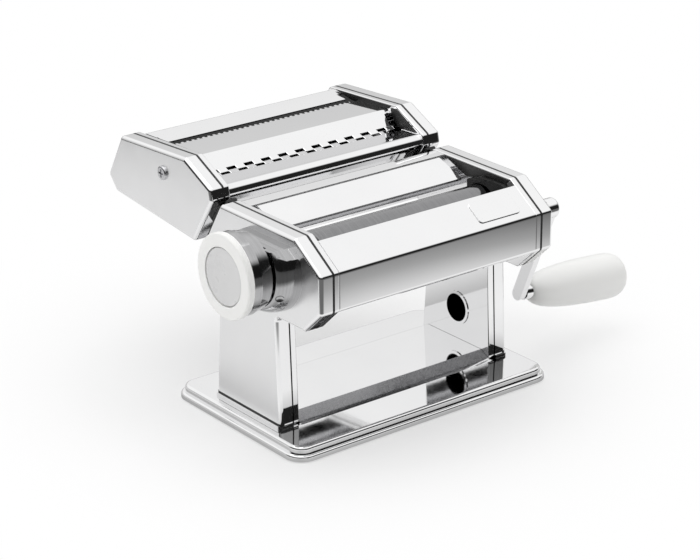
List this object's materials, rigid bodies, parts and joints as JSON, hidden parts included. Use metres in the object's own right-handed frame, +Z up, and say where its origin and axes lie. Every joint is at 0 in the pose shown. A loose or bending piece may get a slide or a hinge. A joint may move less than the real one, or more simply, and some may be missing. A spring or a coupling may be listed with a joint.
{
  "type": "pasta roller machine",
  "caption": "Hand-cranked pasta roller machine: polished steel body on a stepped base with smooth rollers, thickness knob, removable crank and slide-on double cutter head.",
  "frame": {"origin": "on the table, under the middle of the front foot at the knob end", "axes": "+X along the rollers from the knob to the crank, +Y from the front cover to the cutter head at the back, +Z up"},
  "size_m": [0.3229, 0.2203, 0.1542],
  "materials": {
    "polished_steel": "mirror polished",
    "plain_steel": "plated",
    "roller_steel": "ground and plated",
    "black_plastic": "matte",
    "bush_brass": "satin",
    "foot_rubber": "matte",
    "white_plastic": "satin gloss",
    "grey_plastic": "satin"
  },
  "bodies": {
    "frame": {"base_plate": "polished_steel", "rubber_feet": "foot_rubber", "base_screws": "plain_steel", "frame_nuts": "plain_steel", "left_inner_plate": "polished_steel", "right_inner_plate": "polished_steel", "left_side_cover": "polished_steel", "right_side_cover": "polished_steel", "seam_liners": "black_plastic", "front_cover": "polished_steel", "name_badge": "polished_steel", "rear_cover": "polished_steel", "rear_feed_guide": "polished_steel", "hopper_end_guides": "black_plastic", "front_scraper": "plain_steel", "rear_scraper": "plain_steel", "tie_rods": "plain_steel", "drive_bushes": "bush_brass", "adjuster_bushes": "bush_brass", "clamp_socket": "plain_steel", "dial_boss": "polished_steel", "cutter_rails": "plain_steel"},
    "drive_roller": {"drive_roller": "roller_steel", "drive_gear": "plain_steel"},
    "crank": {"crank_arm": "polished_steel", "cross_pin": "plain_steel", "handle_pin": "polished_steel"},
    "handle": {"crank_handle": "white_plastic"},
    "carriage": {"left_bearing_block": "plain_steel", "right_bearing_block": "plain_steel"},
    "carried_roller": {"carried_roller": "roller_steel", "carried_gear": "plain_steel"},
    "adjuster": {"adjuster_shaft": "plain_steel", "stop_washer": "plain_steel", "knob_spring": "plain_steel"},
    "knob": {"knob_skirt": "polished_steel", "knob_cap": "white_plastic", "knob_inlay": "grey_plastic", "index_pin": "plain_steel"},
    "cutter_head": {"cutter_left_plate": "polished_steel", "cutter_right_plate": "polished_steel", "cutter_left_cover": "polished_steel", "cutter_right_cover": "polished_steel", "cutter_seam_liners": "black_plastic", "cutter_front_panel": "polished_steel", "cutter_middle_panel": "polished_steel", "cutter_rear_panel": "polished_steel", "cutter_combs": "plain_steel", "cutter_tie_rods": "plain_steel", "cutter_bushes": "bush_brass", "cover_screws": "plain_steel", "cutter_channels": "plain_steel"},
    "wide_front": {"wide_front_roller": "roller_steel", "wide_front_gear": "plain_steel"},
    "wide_rear": {"wide_rear_roller": "roller_steel", "wide_rear_gear": "plain_steel"},
    "fine_front": {"fine_front_roller": "roller_steel", "fine_front_gear": "plain_steel"},
    "fine_rear": {"fine_rear_roller": "roller_steel", "fine_rear_gear": "plain_steel"}
  },
  "joints": [
    {"name": "drive_roller_spin", "type": "hinge", "parent": "frame", "child": "drive_roller", "pos_m": [0.083, -0.00605, 0.1106], "axis": [1, 0, 0], "continuous": true},
    {"name": "crank_pull", "type": "slide", "parent": "drive_roller", "child": "crank", "axis": [1, 0, 0], "range_m": [0, 0.03]},
    {"name": "handle_spin", "type": "hinge", "parent": "crank", "child": "handle", "pos_m": [0.1905, 0.02112, 0.04468], "axis": [0.9925, 0.0464, -0.1127], "continuous": true},
    {"name": "knob_turn", "type": "hinge", "parent": "frame", "child": "adjuster", "pos_m": [0.083, 0.0199, 0.1138], "axis": [1, 0, 0], "range_deg": [0, 180]},
    {"name": "knob_pull", "type": "slide", "parent": "adjuster", "child": "knob", "axis": [-1, 0, 0], "range_m": [0, 0.004], "stiffness_N_per_m": 1000, "springref_m": -0.002, "deforming": ["knob_spring"]},
    {"name": "gap_slide", "type": "slide", "parent": "frame", "child": "carriage", "axis": [0, -1, 0], "range_m": [0, 0.0025]},
    {"name": "carried_roller_spin", "type": "hinge", "parent": "carriage", "child": "carried_roller", "pos_m": [0.083, 0.02115, 0.1138], "axis": [1, 0, 0], "continuous": true},
    {"name": "cutter_lift", "type": "slide", "parent": "frame", "child": "cutter_head", "axis": [0, -0.5269, 0.8499], "range_m": [0, 0.06]},
    {"name": "wide_front_spin", "type": "hinge", "parent": "cutter_head", "child": "wide_front", "pos_m": [0.083, 0.1032, 0.129], "axis": [1, 0, 0], "continuous": true},
    {"name": "wide_rear_spin", "type": "hinge", "parent": "cutter_head", "child": "wide_rear", "pos_m": [0.083, 0.1208, 0.129], "axis": [1, 0, 0], "continuous": true},
    {"name": "fine_rear_spin", "type": "hinge", "parent": "cutter_head", "child": "fine_rear", "pos_m": [0.083, 0.1588, 0.129], "axis": [1, 0, 0], "continuous": true},
    {"name": "fine_front_spin", "type": "hinge", "parent": "cutter_head", "child": "fine_front", "pos_m": [0.083, 0.1412, 0.129], "axis": [1, 0, 0], "continuous": true}
  ],
  "couplings": [
    {"joint": "knob_turn", "follows": "gap_slide", "rad_per_m": 1256.6},
    {"joint": "carried_roller_spin", "follows": "drive_roller_spin", "ratio": -1},
    {"joint": "wide_rear_spin", "follows": "wide_front_spin", "ratio": -1},
    {"joint": "fine_front_spin", "follows": "fine_rear_spin", "ratio": -1}
  ]
}
